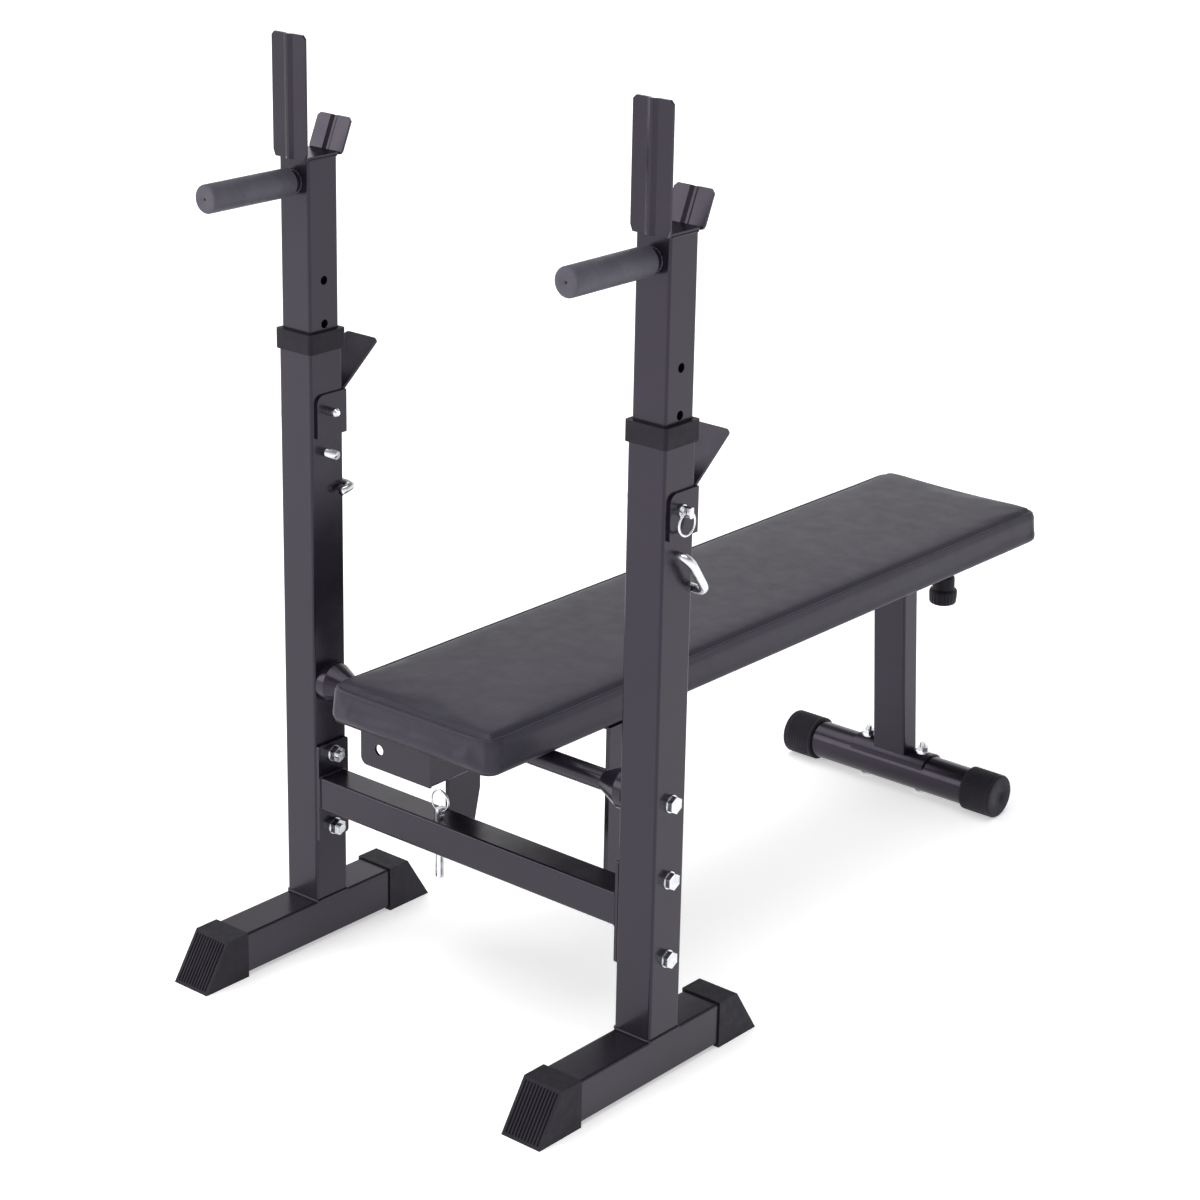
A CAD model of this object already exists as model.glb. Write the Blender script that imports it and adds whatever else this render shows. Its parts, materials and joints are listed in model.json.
import json
import math

import bmesh
import bpy
from mathutils import Matrix, Vector
from mathutils.bvhtree import BVHTree


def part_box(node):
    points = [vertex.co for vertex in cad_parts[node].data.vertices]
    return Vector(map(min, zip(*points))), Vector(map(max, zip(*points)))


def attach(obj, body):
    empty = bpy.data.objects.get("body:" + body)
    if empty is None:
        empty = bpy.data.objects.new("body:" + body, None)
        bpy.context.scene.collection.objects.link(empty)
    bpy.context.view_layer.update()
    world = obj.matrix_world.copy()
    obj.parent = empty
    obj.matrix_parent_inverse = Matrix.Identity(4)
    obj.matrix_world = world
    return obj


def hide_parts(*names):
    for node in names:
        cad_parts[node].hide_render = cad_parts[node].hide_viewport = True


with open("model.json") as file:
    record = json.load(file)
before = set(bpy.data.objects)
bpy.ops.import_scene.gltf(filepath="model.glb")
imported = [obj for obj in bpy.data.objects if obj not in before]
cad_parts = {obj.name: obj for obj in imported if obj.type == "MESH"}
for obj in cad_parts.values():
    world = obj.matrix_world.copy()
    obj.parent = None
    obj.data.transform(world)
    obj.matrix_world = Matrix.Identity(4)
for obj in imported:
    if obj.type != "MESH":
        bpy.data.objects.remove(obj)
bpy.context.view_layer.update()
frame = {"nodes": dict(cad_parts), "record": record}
NODES = frame["nodes"]
MM = 0.001


# ---------------------------------------------------------------- helpers
def centre(node):
    lo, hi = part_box(node)
    return (lo + hi) / 2


def link(name, data):
    obj = bpy.data.objects.new(name, data)
    bpy.context.scene.collection.objects.link(obj)
    return obj


def dress(obj, body, slot):
    """Gives a piece its finish and its CAD body; the materials have the slots' names."""
    obj.data.materials.clear()
    obj.data.materials.append(MATERIALS[slot])
    for poly in obj.data.polygons:
        poly.use_smooth = True
    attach(obj, body)
    return obj


def new_object(name, mesh, body, slot):
    return dress(link(name, mesh), body, slot)


def arc_angles(start, step, count):
    """Angles in radians, from start on by step, both in degrees."""
    return [math.radians(start + step * k) for k in range(count)]


def ring_faces(rings, sides, closed=False):
    """Faces of a stack of rings of vertices, capped at both ends unless it closes on itself."""
    faces = []
    for i in range(rings if closed else rings - 1):
        j = (i + 1) % rings
        for k in range(sides):
            m = (k + 1) % sides
            faces.append((i * sides + k, i * sides + m, j * sides + m, j * sides + k))
    if not closed:
        faces.append(tuple(range(sides - 1, -1, -1)))
        faces.append(tuple(range((rings - 1) * sides, rings * sides)))
    return faces


def mesh_from(name, verts, faces):
    mesh = bpy.data.meshes.new(name)
    mesh.from_pydata([tuple(v) for v in verts], [], faces)
    mesh.validate()
    bm = bmesh.new()
    bm.from_mesh(mesh)
    bmesh.ops.recalc_face_normals(bm, faces=bm.faces)
    bm.to_mesh(mesh)
    bm.free()
    return mesh


# ---------------------------------------------------------------- materials
# Distances in metres that the bump textures stand for
GRAIN = 0.0002
WAVES = 0.0006


def set_range(node, from_min, from_max, to_min, to_max):
    values = {"From Min": from_min, "From Max": from_max, "To Min": to_min, "To Max": to_max}
    for key, value in values.items():
        node.inputs[key].default_value = value


class Tree:
    """Small wrapper that keeps node building short."""

    def __init__(self, name):
        self.mat = bpy.data.materials.new(name)
        self.mat.use_nodes = True
        self.nodes = self.mat.node_tree.nodes
        self.links = self.mat.node_tree.links
        self.bsdf = self.nodes["Principled BSDF"]
        self.coord = self.nodes.new("ShaderNodeTexCoord").outputs["Object"]

    def noise(self, scale, detail=3.0, rough=0.55, stretch=None):
        node = self.nodes.new("ShaderNodeTexNoise")
        node.inputs["Scale"].default_value = scale
        node.inputs["Detail"].default_value = detail
        node.inputs["Roughness"].default_value = rough
        source = self.coord
        if stretch:
            mapping = self.nodes.new("ShaderNodeMapping")
            mapping.inputs["Scale"].default_value = stretch
            self.links.new(source, mapping.inputs["Vector"])
            source = mapping.outputs["Vector"]
        self.links.new(source, node.inputs["Vector"])
        return node.outputs["Fac"]

    def cells(self, scale, feature="DISTANCE_TO_EDGE"):
        node = self.nodes.new("ShaderNodeTexVoronoi")
        node.feature = feature
        node.inputs["Scale"].default_value = scale
        self.links.new(self.coord, node.inputs["Vector"])
        return node.outputs["Distance"]

    def colour(self, fac, dark, light, low=0.3, high=0.7):
        """Base colour that runs from dark to light with a texture."""
        node = self.nodes.new("ShaderNodeValToRGB")
        first, last = node.color_ramp.elements
        first.position, first.color = low, (*dark, 1)
        last.position, last.color = high, (*light, 1)
        self.links.new(fac, node.inputs["Fac"])
        self.put("Base Color", node.outputs["Color"])

    def roughness(self, fac, low, high):
        """Roughness that runs from low to high with the middle of a texture's range."""
        node = self.nodes.new("ShaderNodeMapRange")
        set_range(node, 0.3, 0.7, low, high)
        self.links.new(fac, node.inputs["Value"])
        self.put("Roughness", node.outputs["Result"])

    def bump(self, height, strength, distance, previous=None):
        node = self.nodes.new("ShaderNodeBump")
        node.inputs["Strength"].default_value = strength
        node.inputs["Distance"].default_value = distance
        self.links.new(height, node.inputs["Height"])
        if previous is not None:
            self.links.new(previous, node.inputs["Normal"])
        return node.outputs["Normal"]

    def put(self, socket, output):
        self.links.new(output, self.bsdf.inputs[socket])

    def fixed(self, **values):
        for key, value in values.items():
            self.bsdf.inputs[key.replace("_", " ")].default_value = value


def make_paint():
    t = Tree("paint")
    t.colour(t.noise(9, 4), (0.0090, 0.0076, 0.0120), (0.0125, 0.0104, 0.0160))
    t.roughness(t.noise(35, 5), 0.19, 0.27)
    fine = t.bump(t.noise(1100, 2), 0.06, GRAIN)
    t.put("Normal", t.bump(t.noise(60, 2), 0.05, WAVES, fine))
    t.fixed(Specular_IOR_Level=0.45, Specular_Tint=(0.91, 0.80, 1.0, 1))
    return t.mat


def make_plastic():
    t = Tree("plastic")
    t.colour(t.noise(25, 4), (0.0085, 0.0078, 0.0105), (0.0135, 0.0125, 0.0165))
    t.roughness(t.noise(90, 4), 0.46, 0.6)
    t.put("Normal", t.bump(t.noise(1500, 3), 0.25, GRAIN))
    t.fixed(Specular_IOR_Level=0.22, Specular_Tint=(0.91, 0.82, 1.0, 1))
    return t.mat


def make_rubber():
    t = Tree("rubber")
    t.colour(t.noise(40, 4), (0.060, 0.057, 0.073), (0.078, 0.074, 0.093))
    t.roughness(t.noise(120, 4), 0.5, 0.66)
    t.put("Normal", t.bump(t.cells(1400, "F1"), 0.25, GRAIN))
    t.fixed(Specular_IOR_Level=0.45, Specular_Tint=(0.94, 0.86, 1.0, 1))
    return t.mat


def make_zinc():
    t = Tree("zinc")
    t.colour(t.noise(120, 4), (0.60, 0.62, 0.66), (0.83, 0.84, 0.86))
    t.roughness(t.noise(220, 4), 0.14, 0.3)
    t.put("Normal", t.bump(t.noise(900, 3), 0.12, GRAIN))
    t.fixed(Metallic=1.0)
    return t.mat


def make_vinyl():
    t = Tree("vinyl")
    t.colour(t.noise(7, 5), (0.0245, 0.0222, 0.0315), (0.0285, 0.0258, 0.0365))
    t.roughness(t.noise(45, 5), 0.42, 0.49)
    grain = t.bump(t.cells(620), 0.30, 2 * GRAIN)
    soft = t.bump(t.noise(260, 4), 0.20, WAVES, grain)
    creases = t.noise(14, 3, stretch=(1.0, 0.6, 1.0))
    t.put("Normal", t.bump(creases, 0.12, 4 * MM, soft))
    t.fixed(Specular_IOR_Level=0.33, Specular_Tint=(0.91, 0.82, 1.0, 1))
    return t.mat


def make_board():
    t = Tree("board")
    wood_grain = t.noise(22, 6, 0.6, stretch=(9.0, 1.0, 30.0))
    t.colour(wood_grain, (0.014, 0.013, 0.013), (0.028, 0.026, 0.025))
    t.roughness(t.noise(60, 4), 0.65, 0.85)
    t.put("Normal", t.bump(t.noise(300, 4, stretch=(4.0, 1.0, 4.0)), 0.3, 2 * GRAIN))
    return t.mat


MATERIALS = {
    "paint": make_paint(), "plastic": make_plastic(), "rubber": make_rubber(),
    "zinc": make_zinc(), "vinyl": make_vinyl(), "board": make_board(),
}
for part in frame["record"]["subparts"]:
    node_mesh = NODES[part["node"]].data
    node_mesh.materials.clear()
    node_mesh.materials.append(MATERIALS[part["material_slot"]])


# ---------------------------------------------------------------- cushion
PAD_LO, PAD_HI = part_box("pad_cushion")
PAD_MID = (PAD_LO + PAD_HI) / 2
PAD_HALF = (PAD_HI - PAD_LO) / 2
CORNER = 19 * MM  # radius of the pad's corners, seen from above
EDGE_ROUND = 7 * MM  # radius of the edge between top and side
OUTLINE_POINTS = 240
START_INSET, START_DROP = 2.5 * MM, 4.0 * MM  # how much smaller the cover starts before it swells
UNDERSIDE_CHAMFER = 1.5 * MM
HELD_BELOW = 5 * MM  # the cover is stapled down under this height
VOXEL = 5 * MM
SWELL = 3 * MM  # the furthest that a point may move while it swells
FRAMES = 20

CROWN, CROWN_REACH = 2.5 * MM, 34 * MM  # rise of the middle over the rim, and how far in it takes
VALLEY_IN, VALLEY_WIDTH, VALLEY_DEPTH = 9 * MM, 4 * MM, 2.0 * MM  # dip beside the piping
TOP_BAND, TOP_BLEND = 9 * MM, 6 * MM  # only points this near the top are shaped as the top
SEAM_Z, SEAM_WIDTH, SEAM_DEPTH = PAD_HI.z - 11 * MM, 1.7 * MM, 1.0 * MM

PIPING_INSET, PIPING_RADIUS = 7 * MM, 2.3 * MM
PIPING_POINTS = 420


def outline_point(fraction, inset):
    """Point on the rounded rectangle of the pad, pulled in by inset; fraction runs 0 to 1 round it."""
    w, h = PAD_HALF.x - inset, PAD_HALF.y - inset
    r = max(CORNER - inset, 4 * MM)
    sides = [2 * (h - r), math.pi * r / 2, 2 * (w - r), math.pi * r / 2] * 2
    run = fraction * sum(sides)
    starts = [(w, -(h - r)), (w - r, h), (-w, h - r), (-(w - r), -h)]
    ways = [(0, 1), (-1, 0), (0, -1), (1, 0)]
    corners = [(w - r, h - r), (-(w - r), h - r), (-(w - r), -(h - r)), (w - r, -(h - r))]
    for i in range(4):
        if run <= sides[2 * i]:
            return starts[i][0] + ways[i][0] * run, starts[i][1] + ways[i][1] * run
        run -= sides[2 * i]
        if run <= sides[2 * i + 1]:
            a = math.radians(90 * i) + run / r
            return corners[i][0] + r * math.cos(a), corners[i][1] + r * math.sin(a)
        run -= sides[2 * i + 1]
    return starts[0]


def past_corner(x, y):
    """How far a point lies past the corner circles' centres, along X and along Y."""
    return abs(x) - (PAD_HALF.x - CORNER), abs(y) - (PAD_HALF.y - CORNER)


def inside(x, y):
    """Distance inside the pad's outline, positive towards the middle."""
    qx, qy = past_corner(x, y)
    return CORNER - (math.hypot(max(qx, 0), max(qy, 0)) + min(max(qx, qy), 0))


def cushion_start():
    """Closed cover with a flat top, a little smaller than the pad."""
    low, top = PAD_LO.z + 0.3 * MM, PAD_HI.z - START_DROP
    rings = [(START_INSET + UNDERSIDE_CHAMFER, low), (START_INSET, low + UNDERSIDE_CHAMFER),
             (START_INSET, top - EDGE_ROUND)]
    for a in arc_angles(30, 30, 3):
        pull = START_INSET + EDGE_ROUND * (1 - math.cos(a))
        rings.append((pull, top - EDGE_ROUND * (1 - math.sin(a))))
    verts = []
    for pull, z in rings:
        for i in range(OUTLINE_POINTS):
            x, y = outline_point(i / OUTLINE_POINTS, pull)
            verts.append((PAD_MID.x + x, PAD_MID.y + y, z))
    return mesh_from("pad_cover", verts, ring_faces(len(rings), OUTLINE_POINTS))


def apply_modifiers(obj):
    graph = bpy.context.evaluated_depsgraph_get()
    result = bpy.data.meshes.new_from_object(obj.evaluated_get(graph))
    obj.modifiers.clear()
    obj.data = result


def remesh(obj, size):
    mod = obj.modifiers.new("remesh", "REMESH")
    mod.mode = "VOXEL"
    mod.voxel_size = size
    apply_modifiers(obj)


def inflate(obj, cap):
    """Cloth pressure swells the cover; no point moves further than cap, and the underside stays flat."""
    base = [v.co.copy() for v in obj.data.vertices]
    group = obj.vertex_groups.new(name="hold")
    held = [i for i, c in enumerate(base) if c.z < PAD_LO.z + HELD_BELOW]
    group.add(held, 1.0, "REPLACE")
    cloth = obj.modifiers.new("cloth", "CLOTH")
    settings = cloth.settings
    settings.quality = 5
    settings.mass = 0.3
    settings.tension_stiffness = settings.compression_stiffness = 40
    settings.shear_stiffness = 20
    settings.bending_stiffness = 2
    settings.use_pressure = True
    settings.uniform_pressure_force = 4
    settings.effector_weights.gravity = 0
    settings.vertex_group_mass = "hold"
    cloth.point_cache.frame_start, cloth.point_cache.frame_end = 1, FRAMES
    scene = bpy.context.scene
    for number in range(1, FRAMES + 1):
        scene.frame_set(number)
    apply_modifiers(obj)
    scene.frame_set(1)
    for vert, start in zip(obj.data.vertices, base):
        move = vert.co - start
        if move.length > cap:
            vert.co = start + move.normalized() * cap


def shaped_top(z, d, level):
    """Height of a point near the top, d inside the outline: a crown, and a dip beside the piping."""
    rim = PAD_HI.z - CROWN - 0.6 * MM
    crown = CROWN * (1 - math.exp(-max(d - VALLEY_IN, 0) / CROWN_REACH))
    valley = VALLEY_DEPTH * math.exp(-(((d - VALLEY_IN) / VALLEY_WIDTH) ** 2))
    flatten = 0.5 * (z - level) * (1 if d > 12 * MM else 0)
    shaped = z + (rim - level) + crown - valley - flatten
    blend = min(max((z - (level - TOP_BAND)) / TOP_BLEND, 0), 1)
    return z * (1 - blend) + shaped * blend


def seam_pull(x, y, z, d):
    """How far the seam draws a side point in, along X and along Y."""
    pull = SEAM_DEPTH * (math.exp(-(((z - SEAM_Z) / SEAM_WIDTH) ** 2)) if d < VALLEY_IN else 0)
    qx, qy = past_corner(x, y)
    out_x, out_y = math.copysign(max(qx, 0), x), math.copysign(max(qy, 0), y)
    size = math.hypot(out_x, out_y)
    return (out_x / size * pull, out_y / size * pull) if size > 1e-6 else (0, 0)


def clamp(value, low, high):
    return min(max(value, low), high)


def fit_cushion(verts):
    """Brings the swollen cover to the pad's size, then presses in the dip and the seam."""
    reach_x = max(abs(v.co.x - PAD_MID.x) for v in verts)
    reach_y = max(abs(v.co.y - PAD_MID.y) for v in verts)
    tops = sorted(v.co.z for v in verts if inside(v.co.x - PAD_MID.x, v.co.y - PAD_MID.y) > 30 * MM)
    level = tops[int(len(tops) * 0.75)]
    for vert in verts:
        x = (vert.co.x - PAD_MID.x) * PAD_HALF.x / reach_x
        y = (vert.co.y - PAD_MID.y) * PAD_HALF.y / reach_y
        z = vert.co.z
        d = inside(x, y)
        if z > level - TOP_BAND:
            z = shaped_top(z, d, level)
        pull_x, pull_y = seam_pull(x, y, z, d)
        vert.co = (clamp(PAD_MID.x + x - pull_x, PAD_LO.x, PAD_HI.x),
                   clamp(PAD_MID.y + y - pull_y, PAD_LO.y, PAD_HI.y),
                   clamp(z, PAD_LO.z, PAD_HI.z + 2 * MM))


def build_cushion():
    obj = link("pad_cover", cushion_start())
    remesh(obj, VOXEL)
    inflate(obj, SWELL)
    sub = obj.modifiers.new("sub", "SUBSURF")
    sub.levels = sub.render_levels = 1
    apply_modifiers(obj)
    fit_cushion(obj.data.vertices)
    dress(obj, "bench", "vinyl")
    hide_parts("pad_cushion")
    return obj


def build_piping(cover):
    """Piping round the top edge, laid on the finished cover."""
    tree = BVHTree.FromPolygons([v.co.copy() for v in cover.data.vertices],
                                [tuple(f.vertices) for f in cover.data.polygons])
    loop = []
    for i in range(PIPING_POINTS):
        x, y = outline_point(i / PIPING_POINTS, PIPING_INSET)
        outer_x, outer_y = outline_point(i / PIPING_POINTS, 0)
        way = Vector((outer_x - x, outer_y - y, 0)).normalized() + Vector((0, 0, 1.15))
        way.normalize()
        core = Vector((PAD_MID.x + x, PAD_MID.y + y, PAD_HI.z - CROWN - 7 * MM))
        hit = tree.ray_cast(core + way * 40 * MM, -way)[0]
        loop.append((hit or core) - way * PIPING_RADIUS * 0.35)
    for _ in range(4):
        loop = [(loop[i - 1] + loop[i] * 2 + loop[(i + 1) % PIPING_POINTS]) / 4
                for i in range(PIPING_POINTS)]
    mesh = tube_along("pad_piping", loop, PIPING_RADIUS, True, 12)
    new_object("pad_piping", mesh, "bench", "vinyl")


# ---------------------------------------------------------------- shapes along a line or about an axis
def tube_along(name, points, radius, closed, sides):
    """Mesh tube along points; radius is a number or a function of the run length."""
    points = [Vector(p) for p in points]
    count = len(points)
    verts = []
    run = 0.0
    last = None
    for i, p in enumerate(points):
        after = points[(i + 1) % count] if closed or i < count - 1 else p
        before = points[i - 1] if closed or i > 0 else p
        along = (after - before).normalized()
        if last is None:
            guide = Vector((0, 0, 1)) if abs(along.z) < 0.9 else Vector((1, 0, 0))
            side = along.cross(guide).normalized()
        else:
            side = (last - along * last.dot(along)).normalized()
        last = side
        up = along.cross(side).normalized()
        r = radius(run) if callable(radius) else radius
        for k in range(sides):
            a = 2 * math.pi * k / sides
            verts.append(p + side * r * math.cos(a) + up * r * math.sin(a))
        run += (after - p).length
    return mesh_from(name, verts, ring_faces(count, sides, closed))


def lathe(name, profile, origin, axis, sides=96, ripple=None):
    """Turns (along, radius) points about an axis through origin; ripple(along, angle) adds to the radius."""
    axis = Vector(axis).normalized()
    side = axis.orthogonal().normalized()
    up = axis.cross(side)
    verts = []
    for along, r in profile:
        for k in range(sides):
            a = 2 * math.pi * k / sides
            reach = r + (ripple(along, a) if ripple else 0)
            out = side * reach * math.cos(a) + up * reach * math.sin(a)
            verts.append(Vector(origin) + axis * along + out)
    return mesh_from(name, verts, ring_faces(len(profile), sides))


def rounded_end(length, r, edge):
    """Profile points of the rounded far edge of a turned piece."""
    points = [(length - edge, r)]
    for a in arc_angles(15, 15, 6):
        points.append((length - edge + edge * math.sin(a), r - edge + edge * math.cos(a)))
    return points


def filleted(points, radius):
    """Polyline with its inner corners rounded."""
    steps = 8
    points = [Vector(p) for p in points]
    out = [points[0]]
    for before, here, after in zip(points, points[1:], points[2:]):
        a, b = (before - here), (after - here)
        cut = min(radius, a.length * 0.45, b.length * 0.45)
        start, end = here + a.normalized() * cut, here + b.normalized() * cut
        for k in range(steps + 1):
            t = k / steps
            out.append(start * (1 - t) ** 2 + here * 2 * t * (1 - t) + end * t ** 2)
    out.append(points[-1])
    return out


def rounded_square(cx, cy, z, width):
    """Points of a level square with round corners, four to a corner, as on a square tube."""
    r = 3 * MM
    flat = width / 2 - r
    points = []
    for sx, sy, turn in ((1, 1, 0), (-1, 1, 90), (-1, -1, 180), (1, -1, 270)):
        for a in arc_angles(turn, 30, 4):
            points.append((cx + sx * flat + r * math.cos(a), cy + sy * flat + r * math.sin(a), z))
    return points


# ---------------------------------------------------------------- turned and bent pieces
def build_grip(side):
    """Rubber grip with a round outer edge and a small vent hole in its end."""
    node = "grip_" + side
    lo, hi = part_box(node)
    mid = (lo + hi) / 2
    r = (hi.x - lo.x) / 2
    length = hi.y - lo.y
    lip = 0.8 * MM
    profile = [(0, r - 4 * MM), (0, r - lip), (lip, r)]
    profile += rounded_end(length, r, 3 * MM)
    profile += [(length, 2.2 * MM), (length - 0.4 * MM, 1.5 * MM), (length - 5 * MM, 1.4 * MM)]
    mesh = lathe("grip_cover_" + side, profile, (mid.x, hi.y, mid.z), (0, -1, 0))
    obj = new_object("grip_cover_" + side, mesh, "mast_" + side, "rubber")
    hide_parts(node)


def build_rear_cap(side):
    """Ribbed cap of the round rear foot, with a shallow dish in its end."""
    node = "rear_foot_cap_" + side
    lo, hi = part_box(node)
    mid = (lo + hi) / 2
    r = (hi.z - lo.z) / 2
    length = hi.x - lo.x
    out = 1 if side == "right" else -1
    start = lo.x if out > 0 else hi.x
    lip, edge, dish = 0.8 * MM, 4 * MM, 1.6 * MM
    ribs, groove = 13, 0.55 * MM
    pitch = (length - edge - 6 * MM) / ribs
    profile = [(0, r - 3.6 * MM), (0, r - lip), (lip, r)]
    for i in range(ribs):
        x = 3 * MM + pitch * i
        profile += [(x, r), (x + pitch * 0.62, r)]
        profile += [(x + pitch * 0.7, r - groove), (x + pitch * 0.92, r - groove)]
    profile += rounded_end(length, r, edge)
    profile += [(length, 8 * MM), (length - dish / 2, 7 * MM)]
    profile += [(length - dish, 3 * MM), (length - dish, 1 * MM)]
    mesh = lathe("foot_sleeve_" + side, profile, (start, mid.y, mid.z), (out, 0, 0))
    obj = new_object("foot_sleeve_" + side, mesh, "rear_leg", "plastic")
    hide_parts(node)


def build_knob():
    """Hand knob of the leg lock: a wide fluted ring below a narrower, finely ribbed barrel."""
    lo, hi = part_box("clamp_knob")
    mid = (lo + hi) / 2
    h = hi.z - lo.z
    r = (hi.x - lo.x) / 2
    barrel = r * 0.79
    bore = 4.1 * MM
    ring = [(0, 2 * MM), (0, r - 4 * MM), (0.8 * MM, r - 2.4 * MM), (2.5 * MM, r - 1 * MM),
            (h * 0.25, r - 0.3 * MM), (h * 0.44, r - 0.1 * MM), (h * 0.5, r - 1 * MM)]
    top = [(h * 0.53, barrel + 0.4 * MM), (h * 0.57, barrel), (h * 0.93, barrel - 0.4 * MM),
           (h * 0.98, barrel - 1.4 * MM), (h, barrel - 3 * MM), (h, bore)]
    flute_count = 22

    def flutes(along, angle):
        on_ring = 1 * MM < along < h * 0.48
        on_barrel = h * 0.56 < along < h * 0.95
        depth = 0.8 * MM if on_ring else (0.35 * MM if on_barrel else 0)
        return -depth * (0.5 + 0.5 * math.cos(flute_count * angle)) ** 2

    mesh = lathe("leg_lock_knob", ring + top, (mid.x, mid.y, lo.z), (0, 0, 1), 8 * flute_count, flutes)
    obj = new_object("leg_lock_knob", mesh, "leg_knob", "plastic")
    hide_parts("clamp_knob")


def build_u_pin(side):
    """Bent rod that passes through the post twice and runs round behind it."""
    node = "u_pin_" + side
    lo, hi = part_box(node)
    r = 5 * MM
    post = centre("post_" + side)
    out = 1 if side == "right" else -1
    far = (hi.x - post.x if out > 0 else post.x - lo.x) - r
    near = -far + 6 * MM
    z_up = hi.z - r
    z_low = lo.z + r + 3 * MM
    back = hi.y - r - post.y
    path = [(-far, 0, z_up), (far, 0, z_up), (far, back, z_low), (near, back, z_low),
            (near, 12 * MM, z_low - 3 * MM)]
    points = filleted([(post.x + out * x, post.y + y, z) for x, y, z in path], 14 * MM)
    mesh = tube_along("u_rod_" + side, points, r, False, 24)
    obj = new_object("u_rod_" + side, mesh, node, "zinc")
    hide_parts(node)


# ---------------------------------------------------------------- weld beads
POST_SIZE, MAST_SIZE, CROSS_SIZE = 50 * MM, 45 * MM, 40 * MM
CROSS_Z, FLANGE_IN = 195 * MM, 4.6 * MM
HANDLE_RADIUS = 12.6 * MM
RIPPLE_STEP, RIPPLE_DEPTH = 4.2 * MM, 0.16
BEAD_STEP, BEAD_SIDES = 1.3 * MM, 8


def weld(name, loop, radius, body):
    """Rippled bead along a closed loop of corner points."""
    points = []
    for a, b in zip(loop, loop[1:] + loop[:1]):
        a, b = Vector(a), Vector(b)
        n = max(2, int((b - a).length / BEAD_STEP))
        points += [a.lerp(b, k / n) for k in range(n)]

    def ripple(run):
        return radius * (1 + RIPPLE_DEPTH * math.sin(2 * math.pi * run / RIPPLE_STEP))

    new_object(name, tube_along(name, points, ripple, True, BEAD_SIDES), body, "paint")


def build_welds(side):
    """Beads at the foot of the post, the top of the mast, the dip bar and the end of the cross tube."""
    post = centre("post_" + side)
    foot_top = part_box("foot_bar_" + side)[1].z
    loop = rounded_square(post.x, post.y, foot_top + 0.6 * MM, POST_SIZE)
    weld("weld_post_" + side, loop, 2.2 * MM, "rack")
    mast_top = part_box("mast_" + side)[1].z
    loop = rounded_square(post.x, post.y, mast_top - 0.6 * MM, MAST_SIZE)
    weld("weld_hook_" + side, loop, 1.2 * MM, "mast_" + side)
    lo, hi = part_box("dip_bar_" + side)
    loop = [(post.x + HANDLE_RADIUS * math.cos(a), hi.y - 0.8 * MM,
             (lo.z + hi.z) / 2 + HANDLE_RADIUS * math.sin(a)) for a in arc_angles(0, 9, 40)]
    weld("weld_handle_" + side, loop, 1.8 * MM, "mast_" + side)
    lo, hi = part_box("cross_tube")
    flange = hi.x - FLANGE_IN if side == "right" else lo.x + FLANGE_IN
    section = rounded_square(lo.y + 1 * MM + CROSS_SIZE / 2, CROSS_Z, 0, CROSS_SIZE)
    weld("weld_cross_" + side, [(flange, y, z) for y, z, _ in section], 1.7 * MM, "rack")


build_piping(build_cushion())
build_knob()
for side in ("left", "right"):
    build_grip(side)
    build_rear_cap(side)
    build_u_pin(side)
    build_welds(side)


# ---------------------------------------------------------------- floor, light, camera
HALF_FLOOR = 40


def build_floor():
    """Pale floor that glows a little, as a light table does, so that the shadow stays faint."""
    corners = [(-HALF_FLOOR, -HALF_FLOOR, 0), (HALF_FLOOR, -HALF_FLOOR, 0),
               (HALF_FLOOR, HALF_FLOOR, 0), (-HALF_FLOOR, HALF_FLOOR, 0)]
    mesh = mesh_from("floor", corners, [(0, 1, 2, 3)])
    t = Tree("floor")
    t.colour(t.noise(0.6, 3), (0.90, 0.90, 0.905), (0.93, 0.93, 0.935), 0.2, 0.8)
    t.roughness(t.noise(3, 3), 0.7, 0.8)
    t.fixed(Specular_IOR_Level=0.2, Emission_Color=(1.0, 1.0, 1.0, 1), Emission_Strength=0.42)
    mesh.materials.append(t.mat)
    link("floor", mesh)


def area_light(name, place, aim, size, power):
    data = bpy.data.lights.new(name, "AREA")
    data.shape = "DISK"
    data.size = size
    data.energy = power
    put_light(name, data, place, aim)


def sun_light(name, place, aim, spread, strength):
    data = bpy.data.lights.new(name, "SUN")
    data.angle = math.radians(spread)
    data.energy = strength
    put_light(name, data, place, aim)


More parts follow.
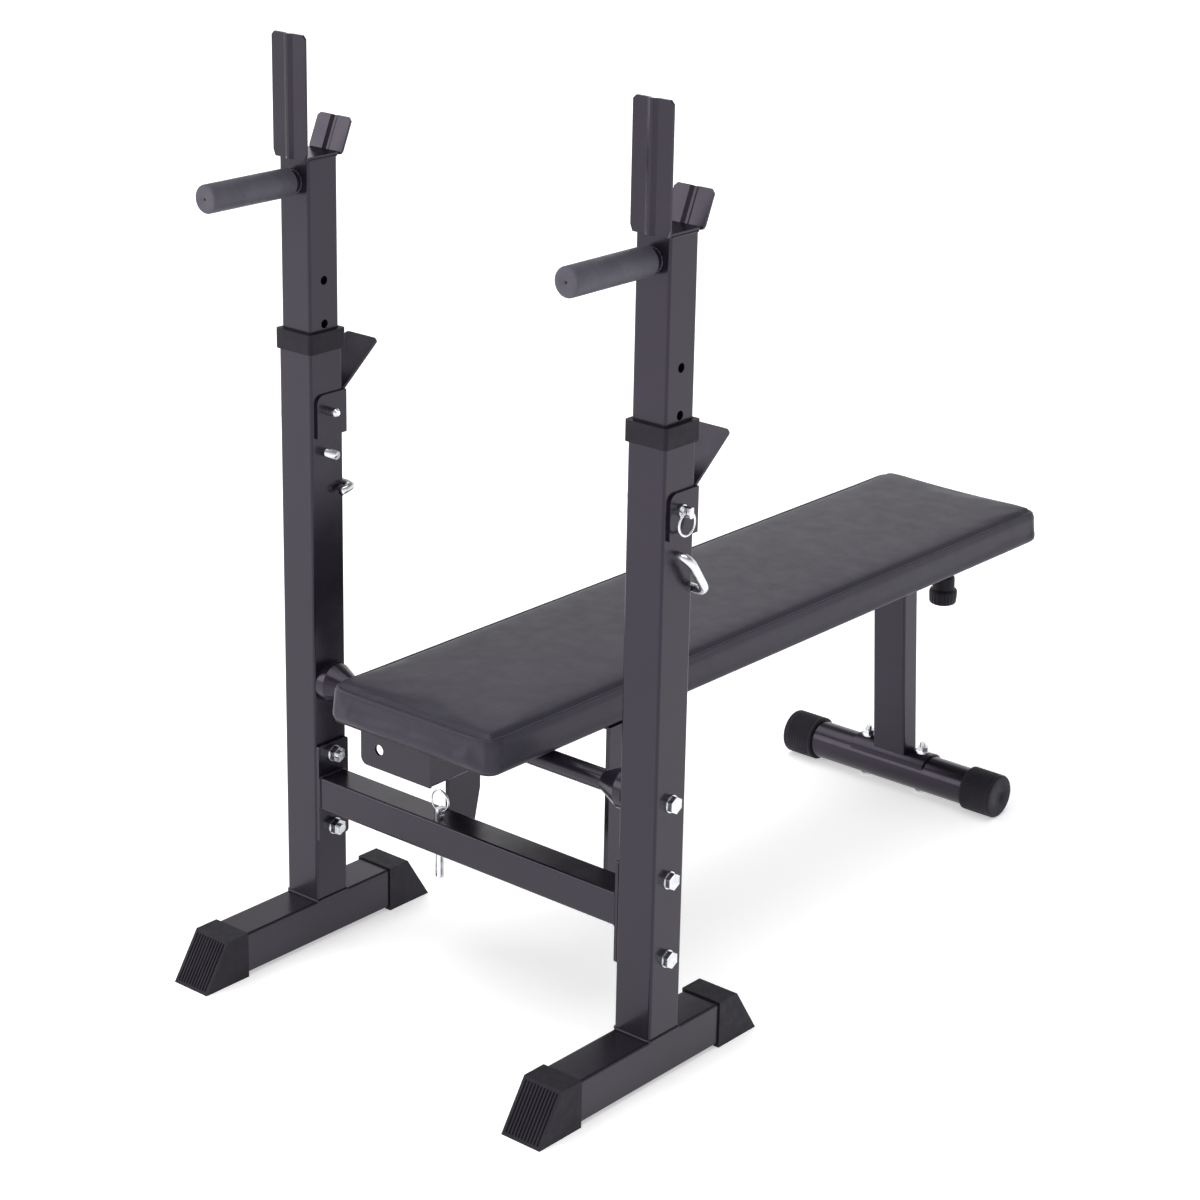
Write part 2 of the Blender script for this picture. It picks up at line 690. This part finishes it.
def put_light(name, data, place, aim):
    obj = link(name, data)
    obj.location = place
    obj.rotation_euler = (Vector(aim) - Vector(place)).to_track_quat("-Z", "Y").to_euler()


def build_world():
    """White near the horizon, darker overhead."""
    world = bpy.data.worlds.new("studio")
    bpy.context.scene.world = world
    world.use_nodes = True
    nodes, links = world.node_tree.nodes, world.node_tree.links
    background = nodes["Background"]
    background.inputs["Color"].default_value = (1.0, 1.0, 1.0, 1)
    direction = nodes.new("ShaderNodeTexCoord").outputs["Generated"]
    split = nodes.new("ShaderNodeSeparateXYZ")
    links.new(direction, split.inputs["Vector"])
    fade = nodes.new("ShaderNodeMapRange")
    fade.interpolation_type = "SMOOTHSTEP"
    set_range(fade, 0.22, 0.75, 1.0, 0.22)
    links.new(split.outputs["Z"], fade.inputs["Value"])
    links.new(fade.outputs["Result"], background.inputs["Strength"])


def build_camera():
    """Camera of the photo: focal length and rise in picture widths, angles in degrees, the rest in metres."""
    azimuth, elevation, roll = 40.03, 19.11, 1.14
    focal, distance, rise = 2.495, 3.406, -0.05
    sensor = 36  # mm
    target = Vector((0.0160, -0.1906, 0.5135))
    az, el, ro = (math.radians(v) for v in (azimuth, elevation, roll))
    back = Vector((math.sin(az) * math.cos(el), -math.cos(az) * math.cos(el), math.sin(el)))
    right = Vector((math.cos(az), math.sin(az), 0))
    up = right.cross(-back)
    right, up = right * math.cos(ro) + up * math.sin(ro), -right * math.sin(ro) + up * math.cos(ro)
    data = bpy.data.cameras.new("camera")
    data.sensor_width = sensor
    data.lens = focal * sensor
    data.shift_y = rise
    data.clip_end = 200
    obj = link("camera", data)
    m = Matrix((right, up, back)).transposed().to_4x4()
    m.translation = target + back * distance
    obj.matrix_world = m
    bpy.context.scene.camera = obj


build_floor()
build_world()
sun_light("sky", (-0.6, -0.7, 4.0), (0, 0, 0.3), 60, 2.0)
area_light("key", (-2.6, -3.0, 1.9), (0, 0, 0.9), 2.2, 35)
area_light("back", (-3.0, 4.2, 2.2), (0, 0.1, 0.4), 2.6, 6)
build_camera()
bpy.context.scene.view_settings.view_transform = "Standard"
